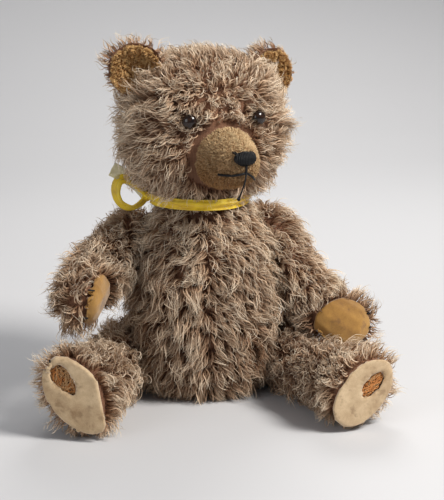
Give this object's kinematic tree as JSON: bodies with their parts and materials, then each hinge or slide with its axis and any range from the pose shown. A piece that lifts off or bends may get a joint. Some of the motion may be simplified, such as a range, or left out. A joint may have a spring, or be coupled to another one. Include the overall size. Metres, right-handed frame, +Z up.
{
  "type": "jointed teddy bear",
  "caption": "Seated vintage jointed teddy bear in long curly mohair, with felt paw pads, worn-through felt soles, stitched nose and mouth, glass eyes and a satin neck ribbon.",
  "frame": {"origin": "on the floor under the middle of the seated bear's bounding box", "axes": "+Z up, -Y the way the torso faces, +X the bear's own left"},
  "size_m": [0.255, 0.1716, 0.2697],
  "materials": {
    "mohair": "long curled mohair pile, pinkish beige with a brown backing, matted and thin in places",
    "cropped_pile": "pile cropped short, tan, worn to the weave along the bridge",
    "yellow_felt": "mustard wool felt, stained",
    "cream_felt": "cream wool felt, stained, frayed round a worn hole",
    "wood_wool": "fine wood shavings packed firmly",
    "hardboard": "bare pressed board",
    "steel": "plain, dull",
    "eye_glass": "dark brown glass, glossy",
    "thread": "black cotton thread, satin stitched",
    "ribbon": "yellow satin ribbon, creased"
  },
  "bodies": {
    "torso": {"torso_cover": "mohair", "torso_stuffing": "wood_wool", "arm_left_joint_body_disc": "hardboard", "arm_left_joint_body_washer": "steel", "arm_right_joint_body_disc": "hardboard", "arm_right_joint_body_washer": "steel", "leg_left_joint_body_disc": "hardboard", "leg_left_joint_body_washer": "steel", "leg_right_joint_body_disc": "hardboard", "leg_right_joint_body_washer": "steel", "neck_joint_body_disc": "hardboard", "neck_joint_body_washer": "steel", "neck_ribbon": "ribbon"},
    "arm_left": {"arm_left_cover": "mohair", "arm_left_stuffing": "wood_wool", "arm_left_pad": "yellow_felt", "arm_left_joint_limb_disc": "hardboard", "arm_left_joint_limb_washer": "steel", "arm_left_joint_cotter_pin": "steel"},
    "arm_right": {"arm_right_cover": "mohair", "arm_right_stuffing": "wood_wool", "arm_right_pad": "yellow_felt", "arm_right_joint_limb_disc": "hardboard", "arm_right_joint_limb_washer": "steel", "arm_right_joint_cotter_pin": "steel"},
    "leg_left": {"leg_left_cover": "mohair", "leg_left_stuffing": "wood_wool", "leg_left_sole": "cream_felt", "leg_left_joint_limb_disc": "hardboard", "leg_left_joint_limb_washer": "steel", "leg_left_joint_cotter_pin": "steel"},
    "leg_right": {"leg_right_cover": "mohair", "leg_right_stuffing": "wood_wool", "leg_right_sole": "cream_felt", "leg_right_joint_limb_disc": "hardboard", "leg_right_joint_limb_washer": "steel", "leg_right_joint_cotter_pin": "steel"},
    "head": {"head_cover": "mohair", "muzzle_cover": "cropped_pile", "head_stuffing": "wood_wool", "eye_left": "eye_glass", "eye_right": "eye_glass", "ear_left_back": "mohair", "ear_left_lining": "cropped_pile", "ear_right_back": "mohair", "ear_right_lining": "cropped_pile", "nose_stitching": "thread", "mouth_stitching": "thread", "neck_joint_limb_disc": "hardboard", "neck_joint_limb_washer": "steel", "neck_joint_cotter_pin": "steel"}
  },
  "joints": [
    {"name": "neck_turn", "type": "hinge", "parent": "torso", "child": "head", "pos_m": [-0.00161, 0.03406, 0.15], "axis": [0, 0, 1], "continuous": true},
    {"name": "shoulder_left", "type": "hinge", "parent": "torso", "child": "arm_left", "pos_m": [0.04099, 0.04306, 0.1085], "axis": [0.9, 0.35, 0.26], "range_deg": [-88, 0]},
    {"name": "shoulder_right", "type": "hinge", "parent": "torso", "child": "arm_right", "pos_m": [-0.04421, 0.04306, 0.1085], "axis": [-0.9, 0.35, 0.26], "range_deg": [-17, 38]},
    {"name": "hip_left", "type": "hinge", "parent": "torso", "child": "leg_left", "pos_m": [0.04259, 0.04336, 0.0265], "axis": [0.9448, 0.28, -0.17], "range_deg": [0, 100]},
    {"name": "hip_right", "type": "hinge", "parent": "torso", "child": "leg_right", "pos_m": [-0.04581, 0.04336, 0.0265], "axis": [-0.9448, 0.28, -0.17], "range_deg": [-100, 0]}
  ]
}
